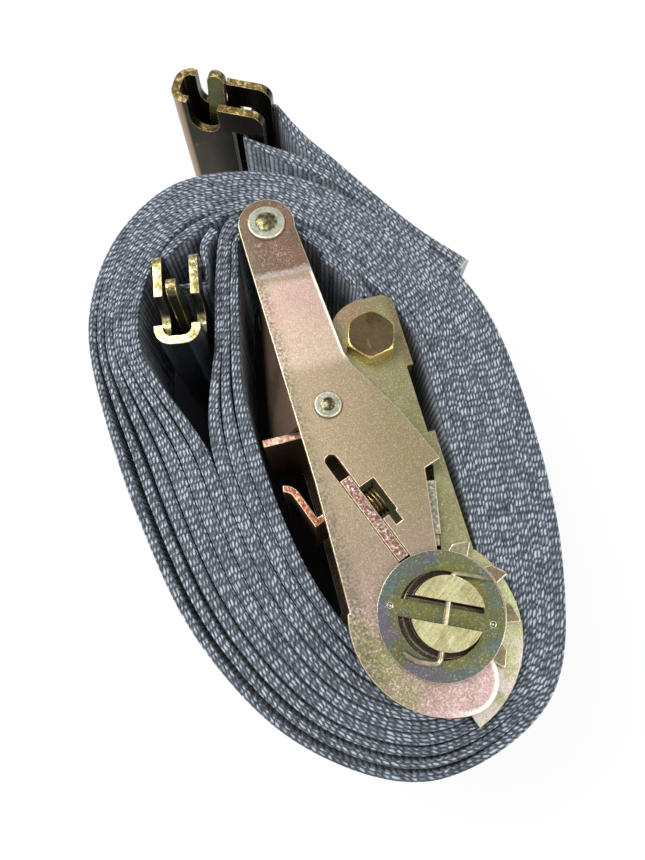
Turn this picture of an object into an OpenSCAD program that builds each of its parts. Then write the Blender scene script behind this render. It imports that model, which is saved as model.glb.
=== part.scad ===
// Ratchet tie down for rail tracks: a short-handled webbing ratchet with its strap wound round it.
// The ratchet lies on its side, so the spindle stands along Z and the webbing stands on edge.

/* [Webbing] */
// Width of the webbing
strap_w = 50; // [46:1:54]
// Thickness of the webbing
strap_t = 1.4; // [1.2:0.1:1.4]
// Turns of the long strap round the ratchet
long_turns = 7; // [5:1:7]
// Room between the webbing and what it is looped round
strap_room = 0.3; // [0.3:0.05:0.4]

/* [Frame] */
// Room between each webbing edge and the frame plate
edge_room = 1; // [0.6:0.1:1.6]
// Thickness of the frame plates
frame_t = 2.3; // [1.8:0.1:3]
// Distance from the spindle to the end of the frame
frame_len = 90; // [88:0.5:94]
// Radius of the frame round the spindle
frame_head_r = 15.5; // [14.5:0.1:15.8]
// Radius of the frame beside the wheels
frame_side_r = 18.6; // [18:0.1:19.2]
// Reach of the horn that the frame's lower quarter grows into
horn_reach = 28; // [26:0.1:29]
// Outer face of the bridge that joins the two frame plates
bridge_x = 13; // [12.6:0.1:13.2]

/* [Spindle] */
// Radius of the two-piece spindle
spindle_r = 10.3; // [9.4:0.1:10.4]
// Width of the slot that takes the webbing
spindle_slot = 5.6; // [5.5:0.1:6]
// How far the slot is turned from the X axis at rest
spindle_turn = -25; // [-60:1:30]
// Running clearance of the spindle in its bores
spindle_fit = 0.06; // [0.02:0.01:0.1]
// Clearance of pieces that are keyed on the spindle
key_fit = 0.1; // [0.05:0.05:0.2]
// How far the spindle stands beyond the cover discs
spindle_stand = 3; // [2.6:0.1:4]
// Radius of the spindle's turned ends
spindle_end_r = 9; // [8.6:0.1:9.1]

/* [Wheels] */
// Thickness of a toothed wheel
wheel_t = 2.2; // [1.8:0.1:2.8]
// Radius over the tooth tips
tooth_tip_r = 19.5; // [18.8:0.1:20]
// Radius at the tooth roots
tooth_root_r = 15.6; // [15:0.1:16]
// Gap between neighbours along the spindle
stack_gap = 0.3; // [0.2:0.05:0.5]
// Thickness of a cover disc
disc_t = 1.3; // [1:0.1:2]
// Radius of a cover disc
disc_r = 15.7; // [14.5:0.1:16.5]
// Radius of a cross pin
pin_r = 0.9; // [0.8:0.05:1]

/* [Handle] */
// Thickness of the handle plates
handle_t = 2.3; // [1.8:0.1:3]
// Distance from the spindle to the grip
handle_len = 119.5; // [117:0.5:120]
// Distance from the spindle to the spacer
spacer_len = 61.2; // [58:0.2:64]
// Radius of the handle's cam end
cam_r = 24; // [22:0.2:25]
// Radius of the handle's rounded end
handle_end_r = 8.3; // [7.5:0.1:9]
// Radius of the grip tube
grip_r = 5; // [4.6:0.1:5.2]
// Radius of the rod inside the grip
grip_rod_r = 3.4; // [2.8:0.1:3.6]
// Radius of the spacer tube
spacer_r = 4.6; // [4:0.1:5]
// Radius of the rod inside the spacer
spacer_rod_r = 2.8; // [2.2:0.1:3]
// Radius of a riveted head on the grip
grip_head_r = 5.8; // [5.2:0.1:6.2]
// Radius of a riveted head on the spacer
spacer_head_r = 4.1; // [3.8:0.1:4.6]
// Radius of the hammered dome on the grip's head
grip_dome_r = 3.2; // [2.4:0.1:3.4]
// Radius of the hammered dome on the spacer's head
spacer_dome_r = 2; // [1.6:0.1:2.8]
// Thickness of a riveted head
head_t = 1.4; // [1:0.1:1.8]
// Bulge of the palm bridge at its open end
palm_bulge = 10.5; // [8:0.5:11]
// Thickness of the palm bridge
palm_t = 2; // [1.6:0.1:2.4]

/* [Pawls] */
// Thickness of the handle's drive pawl
drive_t = 3.2; // [2.8:0.1:3.4]
// Direction of the drive pawl seen from the spindle
drive_turn = 111; // [111:0.5:112]
// Length of the drive pawl
drive_len = 22; // [20:0.5:23]
// Thickness of the frame's lock pawl
lock_t = 3; // [2.6:0.1:3.2]
// Direction of the lock pawl seen from the spindle
lock_turn = 78; // [77:0.5:79]
// Length of the lock pawl
lock_len = 14.2; // [13:0.2:15]
// Gap between a resting pawl and the tooth tips
pawl_clear = 0.3; // [0.3:0.05:0.5]
// Side clearance of a pawl in its slots
pawl_fit = 0.1; // [0.05:0.05:0.2]
// Travel of a pawl into the teeth
pawl_in = 3.3; // [2.8:0.1:3.4]
// Travel of the drive pawl away from the teeth
drive_out = 5; // [4:0.1:5.5]
// Travel of the lock pawl away from the teeth
lock_out = 4; // [3.5:0.1:4.2]
// Wire of the pawl springs
spring_wire = 0.65; // [0.55:0.05:0.7]

/* [Anchor bolt] */
// Radius of the bolt
bolt_r = 4; // [3.5:0.1:4]
// Width across the flats of its head and nut
bolt_flats = 13; // [12:0.5:13.5]
// Height of the bolt head
bolt_head_h = 5.3; // [4.5:0.1:6]
// Height of the nut
nut_h = 6.4; // [5:0.1:6.5]
// Radius of the sleeve that carries the short strap
sleeve_r = 5; // [4.8:0.1:5.2]
// Clearance of the bolt in its holes
bolt_fit = 0.2; // [0.1:0.05:0.3]

/* [Track fittings] */
// Length of a fitting from its fold to its strap end
fit_len = 30; // [29:0.5:31]
// Thickness of a fitting over both plates
fit_w = 13; // [12.6:0.1:13.4]
// Sheet thickness of a fitting
fit_t = 2.6; // [2.2:0.1:2.8]
// Width of the nose at the fold
nose_w = 6; // [5:0.2:6.4]
// Width of the notch that takes the track's edge
notch_w = 9.5; // [8.6:0.1:10]
// Depth of the notch below the nose
notch_depth = 14; // [11:0.5:14]
// How far the nose stands above the block
nose_rise = 4; // [2:0.5:5]
// Width of the bar that carries the webbing
bar_w = 5.5; // [5:0.1:6]
// Width of the webbing slot
fit_slot_w = 5; // [4.4:0.1:5.2]
// Thickness of the latch
latch_t = 2.8; // [2.2:0.1:3]
// Width of the latch's tongue
tongue_w = 5.4; // [5:0.1:5.6]
// How far the tongue stands above the nose
tongue_rise = 4; // [2:0.5:5]
// Radius of the latch's pivot
pivot_r = 2; // [1.6:0.1:2.2]
// Wire of the latch's spring
latch_wire = 0.8; // [0.6:0.05:0.85]

/* [Hidden] */
$fn = 64;
joint_fn = 96;
eps = 0.02;
wide = 200;

// Levels above the ratchet's middle plane, counted outwards along the spindle
frame_in = strap_w / 2 + edge_room;
frame_out = frame_in + frame_t;
wheel_in = frame_out + stack_gap;
wheel_out = wheel_in + wheel_t;
handle_in = wheel_out + stack_gap;
handle_out = handle_in + handle_t;
disc_in = handle_out + stack_gap;
disc_out = disc_in + disc_t;
shoulder_level = handle_out + stack_gap / 2;
pin_level = disc_out + pin_r + key_fit;
spindle_half = disc_out + spindle_stand;

// The part's origin is the middle of its footprint, on the surface that it lies on
module place() translate([-origin_x, -origin_y, spindle_half]) children();

// Colours
zinc = [0.72, 0.66, 0.48];
zinc_dark = [0.55, 0.50, 0.38];
rivet_grey = [0.70, 0.70, 0.68];
spring_grey = [0.45, 0.44, 0.42];
webbing_blue = [0.30, 0.33, 0.39];

// Plain helpers
function polar(r, a) = r * [cos(a), sin(a)];
function unit(v) = v / norm(v);
function left_of(v) = [-v[1], v[0]];
function lerp(a, b, f) = a + (b - a) * f;
function ease(f) = let(g = min(1, max(0, f))) g * g * (3 - 2 * g);
module slab(low, high) translate([0, 0, low]) linear_extrude(height = high - low) children();
module both_sides() {
    children();
    mirror([0, 0, 1]) children();
}
module ring_bore(r, half) cylinder(r = r, h = 2 * half, center = true, $fn = joint_fn);

// One wire along a list of points in space, six-sided
wire_sides = 6;
module wire(points, d) {
    last = len(points) - 1;
    rings = [for (i = [0 : last])
        let(along = unit(points[min(i + 1, last)] - points[max(i - 1, 0)]),
            side = unit(cross(along, abs(along[2]) > 0.9 ? [1, 0, 0] : [0, 0, 1])),
            up = cross(side, along))
        for (k = [0 : wire_sides - 1])
            points[i] + d / 2 * (cos(k * 360 / wire_sides) * side + sin(k * 360 / wire_sides) * up)];
    walls = [for (i = [0 : last - 1]) for (k = [0 : wire_sides - 1])
        let(a = i * wire_sides + k,
            b = i * wire_sides + (k + 1) % wire_sides,
            c = b + wire_sides,
            e = a + wire_sides)
        each [[a, b, c], [a, c, e]]];
    start_cap = [for (k = [1 : wire_sides - 2]) [0, k + 1, k]];
    end_first = last * wire_sides;
    end_cap = [for (k = [1 : wire_sides - 2]) [end_first, end_first + k, end_first + k + 1]];
    polyhedron(points = rings, faces = concat(walls, start_cap, end_cap), convexity = 6);
}

// Curls of a spring about Z, with straight ends one wire long or more
rings_per_curl = 8;
function curls(r, pitch, turns, tail) =
    let(steps = round(turns * rings_per_curl))
    concat([[r, -tail, 0]],
           [for (i = [0 : steps]) let(a = i * 360 / rings_per_curl)
               [r * cos(a), r * sin(a), pitch * i / rings_per_curl]],
           [let(a = steps * 360 / rings_per_curl)
               [r * cos(a) - tail * sin(a), r * sin(a) + tail * cos(a), pitch * steps / rings_per_curl]]);
function spring_gap(points, d) =
    min([for (i = [0 : len(points) - 1])
         for (j = [i + rings_per_curl / 2 : 1 : len(points) - 1])
         norm(points[i] - points[j])]) - d;

// Frame: two side plates joined by a bridge on their outer edge
arm_left = -8;
arm_waist = 1.5;
arm_end_r = 4;
end_round_r = 11.5;
window_low = 46.7;
window_high = 66.8;
window_deep = 2;
bridge_low = 18;
bridge_high = 87;
bolt_at = [3, 76.7];
tab_t = 2;
tab_half = 6;
tab_r = pawl_clear + tooth_tip_r + lock_len + lock_out + 7;
lock_root = tooth_tip_r + pawl_clear;
lock_ear = 2.9;
lock_slot_start = lock_root - lock_ear - pawl_in - 0.6;
lock_slot_end = lock_root + lock_len + lock_out + 0.8;
// Lower quarter of the frame: a spiral from the wheels' side to the tip of the horn
tail_from = 45;
tail_to = -88;
tail_swell = 15;
tail_power = 1.6;
tail_steps = 20;
horn_tip = 2.8;
tail_points = [for (i = [0 : tail_steps])
    let(a = lerp(tail_from, tail_to, i / tail_steps), f = max(0, tail_swell - a) / (tail_swell - tail_to))
    polar(lerp(frame_side_r, horn_reach, pow(f, tail_power)), a)];
module frame_outline() {
    difference() {
        union() {
            circle(r = frame_head_r, $fn = joint_fn);
            polygon([[arm_waist, 10], [bridge_x, 8], [bridge_x, frame_len - arm_end_r],
                [bridge_x - arm_end_r, frame_len], [arm_left + end_round_r, frame_len],
                [arm_left, frame_len - end_round_r], [arm_left, 47], [arm_waist, 40]]);
            translate([bridge_x - arm_end_r, frame_len - arm_end_r]) circle(r = arm_end_r);
            intersection() {
                translate([arm_left + end_round_r, frame_len - end_round_r])
                    circle(r = end_round_r, $fn = joint_fn);
                translate([arm_left, 0]) square([end_round_r, frame_len]);
            }
            polygon(concat([[0, 0]], tail_points, [[0, horn_tip - horn_reach]]));
        }
        translate([bridge_x - window_deep, window_low]) square([wide, window_high - window_low]);
    }
}
module frame_plate() {
    difference() {
        slab(frame_in, frame_out) frame_outline();
        ring_bore(spindle_r + spindle_fit, wide);
        translate(bolt_at) ring_bore(bolt_r + bolt_fit, wide);
        rotate([0, 0, lock_turn])
            translate([lock_slot_start, -lock_t / 2 - pawl_fit, 0])
                cube([lock_slot_end - lock_slot_start, lock_t + 2 * pawl_fit, wide]);
    }
}
module frame_bridge(low, high) {
    translate([bridge_x - frame_t, low, -frame_in - eps])
        cube([frame_t, high - low, 2 * (frame_in + eps)]);
}
module frame() {
    color(zinc) place() {
        both_sides() frame_plate();
        frame_bridge(bridge_low, window_low);
        frame_bridge(window_high, bridge_high);
        // Tab that the lock pawl's spring pushes on
        intersection() {
            rotate([0, 0, lock_turn]) translate([tab_r, -wide, -tab_half])
                cube([tab_t, 2 * wide, 2 * tab_half]);
            translate([bridge_x - frame_t - 6, 0, -wide]) cube([frame_t / 2 + 6, window_low, 2 * wide]);
        }
    }
}

// Anchor bolt, nut and the sleeve that the short strap is looped round
bolt_over = 1.6;
chamfer_in = 0.35;
chamfer_slope = 1.7;
module hex_prism(flats, h) cylinder(r = flats / 2 / cos(30), h = h, $fn = 6);
module anchor_bolt() {
    color(zinc) place() translate(bolt_at) {
        translate([0, 0, -frame_out - nut_h - bolt_over])
            cylinder(r = bolt_r, h = 2 * frame_out + nut_h + bolt_over + eps);
        intersection() {
            translate([0, 0, frame_out]) rotate([0, 0, 12]) hex_prism(bolt_flats, bolt_head_h);
            translate([0, 0, frame_out - eps])
                cylinder(r1 = bolt_flats / 2 - chamfer_in + chamfer_slope * bolt_head_h,
                         r2 = bolt_flats / 2 - chamfer_in, h = bolt_head_h + eps);
        }
    }
}
module anchor_nut() {
    color(zinc) place() translate([bolt_at[0], bolt_at[1], -frame_out - nut_h]) difference() {
        rotate([0, 0, 20]) hex_prism(bolt_flats, nut_h);
        translate([0, 0, -1]) cylinder(r = bolt_r + eps, h = nut_h + 2);
    }
}
module anchor_sleeve() {
    color(zinc_dark) place() translate(bolt_at) difference() {
        cylinder(r = sleeve_r, h = 2 * (frame_in - bolt_fit), center = true);
        ring_bore(bolt_r + bolt_fit, frame_in);
    }
}

// Spindle: two half-round bars with the webbing slot between them
module half_round(r, gap) {
    intersection() {
        circle(r = r, $fn = joint_fn);
        translate([-wide, gap / 2]) square([2 * wide, wide]);
    }
}
module spindle_half_bar(turn) {
    color(zinc) place() rotate([0, 0, spindle_turn + turn]) difference() {
        union() {
            slab(-spindle_half, spindle_half) half_round(spindle_end_r, spindle_slot);
            slab(-shoulder_level, shoulder_level) half_round(spindle_r, spindle_slot);
        }
        for (level = [-pin_level, pin_level])
            translate([0, 0, level]) rotate([90, 0, 0])
                cylinder(r = pin_r + key_fit / 2, h = 2 * wide, center = true, $fn = 32);
    }
}
module spindle_half_a() spindle_half_bar(0);
module spindle_half_b() spindle_half_bar(180);

// Two half-round holes with the key bar left between them
module keyed_holes() {
    for (turn = [0, 180])
        rotate([0, 0, turn]) half_round(spindle_r + key_fit, spindle_slot - 2 * key_fit);
}

// Wheel teeth: a steep face on the clockwise side of each tip, a floor and a long back
// Both pawls stand opposite a floor, so that they can slide in between the teeth
tooth_count = 10;
tooth_pitch = 360 / tooth_count;
tooth_ahead = 0.24;
tooth_steep = 0.07;
tooth_floor = 0.51;
back_swell = 0.62;
back_height = 0.55;
tooth_land = 0.07;
tooth_phase = lock_turn + tooth_ahead * tooth_pitch;
module wheel_outline() {
    polygon([for (k = [0 : tooth_count - 1])
        let(tip = tooth_phase + k * tooth_pitch)
        each [polar(tooth_tip_r, tip - (1 - tooth_land) * tooth_pitch),
              polar(lerp(tooth_root_r, tooth_tip_r, back_height), tip - back_swell * tooth_pitch),
              polar(tooth_root_r, tip - tooth_floor * tooth_pitch),
              polar(tooth_root_r, tip - tooth_steep * tooth_pitch),
              polar(tooth_tip_r, tip)]]);
}
module wheel_solid() {
    slab(wheel_in, wheel_out) difference() {
        wheel_outline();
        rotate([0, 0, spindle_turn]) keyed_holes();
    }
}
module ratchet_wheel_top() color(zinc) place() wheel_solid();
module ratchet_wheel_bottom() color(zinc) place() mirror([0, 0, 1]) wheel_solid();

// Cover discs with two punch marks, and the cross pins that hold them on
punch_r = 0.7;
punch_deep = 0.5;
punch_at = 12.7;
disc_key = 4.2;
disc_bore = spindle_r + 0.3;
// The discs hang to one side on the turned ends
disc_slip = [-1.1, -0.6, 0];
module disc_solid() {
    rotate([0, 0, spindle_turn]) translate(disc_slip) difference() {
        slab(disc_in, disc_out) difference() {
            circle(r = disc_r, $fn = joint_fn);
            for (turn = [0, 180]) rotate([0, 0, turn]) half_round(disc_bore, disc_key);
        }
        for (side = [-1, 1])
            translate([side * punch_at, 0, disc_out - punch_deep])
                cylinder(r1 = punch_r / 3, r2 = punch_r, h = punch_deep + eps, $fn = 24);
    }
}
module cover_disc_top() color(zinc_dark) place() disc_solid();
module cover_disc_bottom() color(zinc_dark) place() mirror([0, 0, 1]) disc_solid();
// A pin is pushed through both bars and its ends are bent over on the disc
pin_up = spindle_end_r + 0.9;
pin_down = disc_bore + 1.5;
pin_bend = 1.5;
pin_path = [[10, pin_up, 0], [pin_bend, pin_up, 0], [pin_bend * 0.29, pin_up - pin_bend * 0.29, 0],
    [0, pin_up - pin_bend, 0], [0, pin_bend - pin_down, 0], [-pin_bend * 0.29, pin_bend * 0.29 - pin_down, 0],
    [-pin_bend, -pin_down, 0], [-5, -pin_down - 0.2, 0], [-7.4, 0.4 - pin_down, 0], [-9.4, 1.5 - pin_down, 0]];
module cross_pin() rotate([0, 0, spindle_turn]) translate([0, 0, pin_level]) wire(pin_path, 2 * pin_r);
module cotter_pin_top() color(rivet_grey) place() cross_pin();
module cotter_pin_bottom() color(rivet_grey) place() mirror([0, 0, 1]) cross_pin();

// Handle plates
grip_turn = 98.2;
grip_at = polar(handle_len, grip_turn);
spacer_at = polar(spacer_len, 103.2);
hub_r = 15.4;
cam_end_r = 8.6;
cam_end_x = -0.2;
drive_root = tooth_tip_r + pawl_clear;
drive_slot_end = drive_root + drive_len + drive_out + 0.8;
ear_root = drive_root - 3.4;
coil_r = 4.2;
coil_pitch = spring_wire + 0.45;
coil_turns = 3;
coil_mid = drive_root + 12.8;
coil_side = drive_t / 2 + spring_wire / 2 + 0.35;
coil_reach = coil_side + coil_pitch * coil_turns + spring_wire;
window_half = 5;
window_step = 3.2;
rod_fit = 0.05;
module handle_outline() {
    end_out = grip_at + [-handle_end_r, 0];
    end_in = grip_at + [handle_end_r - 0.4, -2];
    translate(grip_at) circle(r = handle_end_r);
    polygon([end_out, [-22.7, 40], [-22.7, 0], [0, -10], [2.8, 15], [6.2, 36.4], [10.9, 37.9],
        [4.5, 53.4], [-4.5, 69.5], [-5.7, 73.5], end_in]);
    circle(r = hub_r, $fn = joint_fn);
    intersection() {
        circle(r = cam_r, $fn = joint_fn);
        translate([-wide, -wide]) square([wide + cam_end_x, wide + 6]);
    }
    translate([cam_end_x, cam_end_r - cam_r]) circle(r = cam_end_r);
}
module pawl_window() {
    rotate([0, 0, drive_turn]) {
        translate([ear_root - pawl_in - 0.5, -drive_t / 2 - pawl_fit, 0])
            cube([drive_slot_end - ear_root + pawl_in + 0.5, drive_t + 2 * pawl_fit, wide]);
        translate([drive_slot_end, 0, 0]) cylinder(r = drive_t / 2 + pawl_fit, h = wide);
        translate([coil_mid - window_half, -coil_reach, 0]) cube([2 * window_half, coil_reach, wide]);
        translate([coil_mid - window_half - window_step, 0.5 - coil_reach, 0]) cube([window_step + 1, 2, wide]);
    }
}
module handle_plate() {
    difference() {
        slab(handle_in, handle_out) handle_outline();
        ring_bore(spindle_r + spindle_fit, wide);
        translate(grip_at) ring_bore(grip_rod_r + rod_fit, wide);
        translate(spacer_at) ring_bore(spacer_rod_r + rod_fit, wide);
        pawl_window();
    }
}
module handle_plate_top() color(zinc) place() handle_plate();
module handle_plate_bottom() color(zinc) place() mirror([0, 0, 1]) handle_plate();

// Riveted rods and the tubes on them
dome_h = 0.5;
head_taper = 0.5;
module riveted_rod(r, head_r, dome_r) {
    ball_r = (dome_r * dome_r + dome_h * dome_h) / 2 / dome_h;
    cylinder(r = r, h = 2 * (handle_out + eps), center = true);
    both_sides() translate([0, 0, handle_out]) {
        cylinder(r1 = head_r, r2 = head_r - head_taper, h = head_t - dome_h);
        intersection() {
            translate([0, 0, head_t - ball_r]) sphere(r = ball_r);
            cylinder(r = dome_r, h = head_t + 1);
        }
    }
}
module rod_tube(r, bore) {
    difference() {
        cylinder(r = r, h = 2 * (handle_in - rod_fit), center = true);
        ring_bore(bore, handle_in);
    }
}
module grip_rod() color(rivet_grey) place() translate(grip_at) riveted_rod(grip_rod_r, grip_head_r, grip_dome_r);
module grip_tube() color(zinc_dark) place() translate(grip_at) rod_tube(grip_r, grip_rod_r + rod_fit);
module spacer_rod() color(rivet_grey) place() translate(spacer_at) riveted_rod(spacer_rod_r, spacer_head_r, spacer_dome_r);
module spacer_tube() color(zinc_dark) place() translate(spacer_at) rod_tube(spacer_r, spacer_rod_r + rod_fit);

// Palm bridge: a bulged plate between the handle plates, flattening towards the grip
palm_low = 57;
palm_clear = 5.3;
palm_high = grip_at[1] - grip_r - palm_clear;
palm_x = -22.2;
palm_slope = 9;
palm_half = handle_in - rod_fit;
palm_arc_r = (palm_half * palm_half + palm_bulge * palm_bulge) / 2 / palm_bulge;
flange_half = 24;
flange_left = -33.6;
flange_right = -19.6;
module handle_bridge() {
    // Lower edge of the palm, folded in across the handle
    color(zinc_dark) place() translate([flange_left, palm_low - palm_t + eps, -flange_half])
        cube([flange_right - flange_left, palm_t, 2 * flange_half]);
    color(zinc_dark) place() intersection() {
        translate([palm_x - palm_bulge, palm_low, 0]) rotate([0, 0, -palm_slope])
            translate([palm_arc_r, 0, 0]) rotate([90, 0, 0]) difference() {
                cylinder(r = palm_arc_r, h = wide, center = true, $fn = joint_fn);
                cylinder(r = palm_arc_r - palm_t, h = wide + 2, center = true, $fn = joint_fn);
            }
        translate([palm_x - 20, palm_low, -palm_half]) cube([26, palm_high - palm_low, 2 * palm_half]);
    }
}

// Drive pawl: a bar through both handle plates with an offset finger pull
pull_half = 24;
pull_t = 2;
pull_step = 11;
pull_foot = drive_len - 5;
pull_reach = 10.4;
curl_r = 5;
curl_turn = 62;
module drive_pawl() {
    color(zinc) place() rotate([0, 0, drive_turn]) {
        slab(-handle_out, handle_out) translate([drive_root, -drive_t / 2]) square([drive_len, drive_t]);
        both_sides() slab(handle_in, handle_out)
            translate([ear_root, -drive_t / 2]) square([drive_len, drive_t]);
        slab(-pull_half, pull_half) {
            translate([drive_root + pull_foot, 0]) square([pull_t, pull_step + eps]);
            translate([drive_root + pull_foot, pull_step]) square([pull_reach + eps, pull_t]);
            translate([drive_root + pull_foot + pull_reach, pull_step + curl_r]) intersection() {
                difference() {
                    circle(r = curl_r);
                    circle(r = curl_r - pull_t);
                }
                polygon([[0, 0], [0, -wide], polar(wide, curl_turn - 90)]);
            }
        }
    }
}

// Drive pawl springs: one torsion coil beside the pawl under each plate's window
coil_level = handle_in + 1.5 - coil_r - spring_wire / 2;
coil_tail = spring_wire + 2.5;
drive_curls = curls(coil_r, coil_pitch, coil_turns, coil_tail);
module drive_pawl_springs() {
    echo(drive_spring_least_gap = spring_gap(drive_curls, spring_wire));
    color(spring_grey) place() both_sides()
        rotate([0, 0, drive_turn]) translate([coil_mid, -coil_side, coil_level]) rotate([90, 0, 0])
            wire(drive_curls, spring_wire);
}

// Lock pawl in the frame, with its spring
module lock_pawl() {
    color(zinc) place() rotate([0, 0, lock_turn]) {
        slab(-wheel_out, wheel_out) translate([lock_root, -lock_t / 2]) square([lock_len, lock_t]);
        // Ears under the wheels
        both_sides() slab(frame_in, frame_out)
            translate([lock_root - lock_ear, -lock_t / 2]) square([lock_len, lock_t]);
    }
}
lock_wire = 0.7;
lock_coil_r = 1.3;
lock_turns = 5;
// The spring stands off the pawl's middle, to clear the frame's bridge
lock_shift = 0.55;
spring_seat = 0.3;
lock_spring_len = tab_r - lock_root - lock_len - 2 * spring_seat - lock_wire;
lock_curls = curls(lock_coil_r, lock_spring_len / lock_turns, lock_turns, lock_wire);
module lock_pawl_spring() {
    echo(lock_spring_least_gap = spring_gap(lock_curls, lock_wire));
    color(spring_grey) place() rotate([0, 0, lock_turn])
        translate([lock_root + lock_len + spring_seat + lock_wire / 2, lock_shift, 0]) rotate([0, 90, 0])
            wire(lock_curls, lock_wire);
}

// Track fittings: a folded channel with a nose and a notch at both ends, and a sprung latch inside
nose_half = spindle_half;
// The upper nose is worn shorter than the lower one
nose_drop = 2.7;
block_half = nose_half - nose_rise;
notch_half = nose_half - notch_depth;
notch_start = nose_w;
block_start = nose_w + notch_w;
bar_start = fit_len - bar_w;
slot_start = bar_start - fit_slot_w;
slot_half = strap_w / 2 + 0.8;
corner_r = 4;
fold_r = 5;
pivot_at = [11, -6];
pivot_head_r = 3.2;
pivot_head_t = 0.6;
// The fittings and the straps' upper bends keep their places round the grip at any length of handle
grip_drawn = [-17.0445, 118.2783];
grip_shift = grip_at - grip_drawn;
stretch_top = 116;
stretch_right = 80;
stretch_left = 0;
stretch_edge = -5;
stretch_side = 25;
function stretched(points) = [for (p = points)
    let(from = lerp(stretch_right, stretch_left, ease((stretch_edge - p[0]) / stretch_side)))
    p + grip_shift * ease((p[1] - from) / (stretch_top - from))];
outer_fit_at = [-33.5, 173.5] + grip_shift;
outer_fit_turn = -27.3;
inner_fit_at = [-49.3, 86.6] + grip_shift;
inner_fit_turn = 81.5;
module channel_outline() {
    difference() {
        union() {
            translate([fold_r, -fit_w / 2]) square([fit_len - fold_r, fit_w]);
            translate([0, -fit_w / 2 + fold_r]) square([fold_r, fit_w - 2 * fold_r]);
            for (side = [-1, 1])
                translate([fold_r, side * (fit_w / 2 - fold_r)]) circle(r = fold_r);
        }
        translate([fold_r, -fit_w / 2 + fit_t]) square([wide, fit_w - 2 * fit_t]);
        translate([fit_t, -fit_w / 2 + fold_r]) square([fold_r, fit_w - 2 * fold_r]);
        for (side = [-1, 1])
            translate([fold_r, side * (fit_w / 2 - fold_r)]) circle(r = fold_r - fit_t);
    }
}
// Side view of a fitting plate: X along the fitting, Y up the fitting
module fitting_side() {
    difference() {
        union() {
            translate([0, -nose_half]) square([nose_w, 2 * nose_half]);
            translate([0, -notch_half - notch_w / 2]) square([fit_len, 2 * notch_half + notch_w]);
            for (end = [-1, 1]) {
                translate([block_start, end > 0 ? 0 : -block_half])
                    square([fit_len - block_start - corner_r, block_half]);
                translate([block_start, end > 0 ? 0 : -block_half + corner_r])
                    square([fit_len - block_start, block_half - corner_r]);
                translate([fit_len - corner_r, end * (block_half - corner_r)]) circle(r = corner_r);
            }
        }
        for (end = [-1, 1]) {
            translate([notch_start + notch_w / 2, end * (notch_half + notch_w / 2)]) circle(r = notch_w / 2);
            translate([notch_start, end > 0 ? notch_half + notch_w / 2 : -wide - notch_half - notch_w / 2])
                square([notch_w, wide]);
        }
        translate([slot_start, -slot_half]) square([fit_slot_w, 2 * slot_half]);
        translate(pivot_at) circle(r = pivot_r + rod_fit);
    }
}
module side_extrude(width) {
    rotate([90, 0, 0]) linear_extrude(height = width, center = true) children();
}
module fitting_body() {
    intersection() {
        slab(-nose_half, nose_half - nose_drop) channel_outline();
        side_extrude(fit_w) fitting_side();
    }
}
// Latch: a pivot eye, a shank and a tongue that leans towards the block
shank_w = 5;
tongue_left = nose_w + 4.3;
tongue_top = nose_half + tongue_rise;
eye_r = 4.4;
module fitting_latch() {
    tip_r = tongue_w / 2;
    lean = 1.6;
    side_extrude(latch_t) difference() {
        union() {
            translate(pivot_at) circle(r = eye_r);
            polygon([[pivot_at[0] - shank_w / 2, pivot_at[1]], [pivot_at[0] + shank_w / 2, pivot_at[1]],
                [tongue_left + tongue_w, notch_half], [tongue_left + tongue_w + lean, tongue_top - tip_r],
                [tongue_left + lean, tongue_top - tip_r], [tongue_left, notch_half]]);
            translate([tongue_left + lean + tip_r, tongue_top - tip_r]) circle(r = tip_r);
        }
        translate(pivot_at) circle(r = pivot_r + spindle_fit);
    }
}
module fitting_rivet() {
    translate([pivot_at[0], 0, pivot_at[1]]) rotate([90, 0, 0]) {
        cylinder(r = pivot_r, h = fit_w + 2 * eps, center = true);
        both_sides() translate([0, 0, fit_w / 2])
            cylinder(r1 = pivot_head_r, r2 = pivot_head_r - 0.4, h = pivot_head_t);
    }
}
latch_coil_r = pivot_r + latch_wire / 2 + 0.3;
latch_coil_pitch = latch_wire + 0.45;
latch_curls = curls(latch_coil_r, latch_coil_pitch, 1, 4);
module fitting_spring() {
    echo(latch_spring_least_gap = spring_gap(latch_curls, latch_wire));
    translate([pivot_at[0], -latch_t / 2 - 0.2 - latch_wire / 2, pivot_at[1]]) rotate([90, 0, 0])
        wire(latch_curls, latch_wire);
}
module at_outer() place() translate(outer_fit_at) rotate([0, 0, outer_fit_turn]) children();
module at_inner() place() translate(inner_fit_at) rotate([0, 0, inner_fit_turn]) children();
module outer_fitting() color(zinc) at_outer() fitting_body();
module outer_latch() color(zinc) at_outer() fitting_latch();
module outer_latch_rivet() color(rivet_grey) at_outer() fitting_rivet();
module outer_latch_spring() color(spring_grey) at_outer() fitting_spring();
module inner_fitting() color(zinc) at_inner() fitting_body();
module inner_latch() color(zinc) at_inner() fitting_latch();
module inner_latch_rivet() color(rivet_grey) at_inner() fitting_rivet();
module inner_latch_spring() color(spring_grey) at_inner() fitting_spring();

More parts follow.
